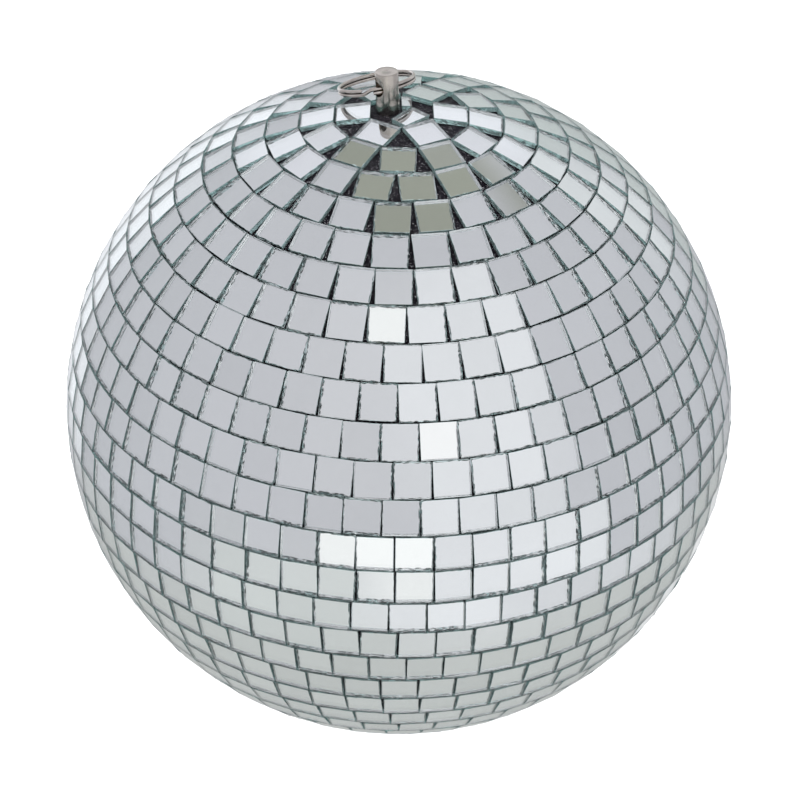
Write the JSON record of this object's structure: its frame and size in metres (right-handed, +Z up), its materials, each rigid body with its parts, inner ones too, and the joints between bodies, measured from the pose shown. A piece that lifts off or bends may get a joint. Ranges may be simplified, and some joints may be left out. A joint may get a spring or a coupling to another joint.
{
  "type": "mirror ball",
  "caption": "Hanging mirror ball: a hollow black core covered in rows of square mirror tiles, on a cross-drilled steel pin with a split ring.",
  "frame": {"origin": "centre of the pin's cross hole, where the ball hangs", "axes": "+Z up along the pin, away from the ball; -Y is the front; the cross hole runs 28 degrees from +X in the XY plane"},
  "size_m": [0.2004, 0.2003, 0.2107],
  "materials": {
    "core": "black moulded plastic",
    "coat": "black adhesive, slightly rough",
    "pin_steel": "satin nickel over turned steel",
    "plate_steel": "zinc plated",
    "ring_steel": "polished nickel",
    "mirror": "silvered glass with cut edges"
  },
  "bodies": {
    "ball": {"upper_shell": "core", "lower_shell": "core", "adhesive_coat": "coat", "hanging_pin": "pin_steel", "load_plate": "plate_steel", "lock_washer": "plate_steel", "pin_nut": "plate_steel", "crown_filler_tiles": "mirror", "bottom_tiles": "mirror", "tile_row_01": "mirror", "tile_row_02": "mirror", "tile_row_03": "mirror", "tile_row_04": "mirror", "tile_row_05": "mirror", "tile_row_06": "mirror", "tile_row_07": "mirror", "tile_row_08": "mirror", "tile_row_09": "mirror", "tile_row_10": "mirror", "tile_row_11": "mirror", "tile_row_12": "mirror", "tile_row_13": "mirror", "tile_row_14": "mirror", "tile_row_15": "mirror", "tile_row_16": "mirror", "tile_row_17": "mirror", "tile_row_18": "mirror", "tile_row_19": "mirror", "tile_row_20": "mirror", "tile_row_21": "mirror", "tile_row_22": "mirror", "tile_row_23": "mirror", "tile_row_24": "mirror", "tile_row_25": "mirror", "tile_row_26": "mirror", "tile_row_27": "mirror", "tile_row_28": "mirror", "tile_row_29": "mirror"},
    "ring": {"split_ring": "ring_steel"}
  },
  "joints": [
    {"name": "ring_swing", "type": "hinge", "parent": "ball", "child": "ring", "pos_m": [0, 0, -0.0006], "axis": [0.9487, 0.3083, 0.0698], "range_deg": [0, 212.5]}
  ]
}
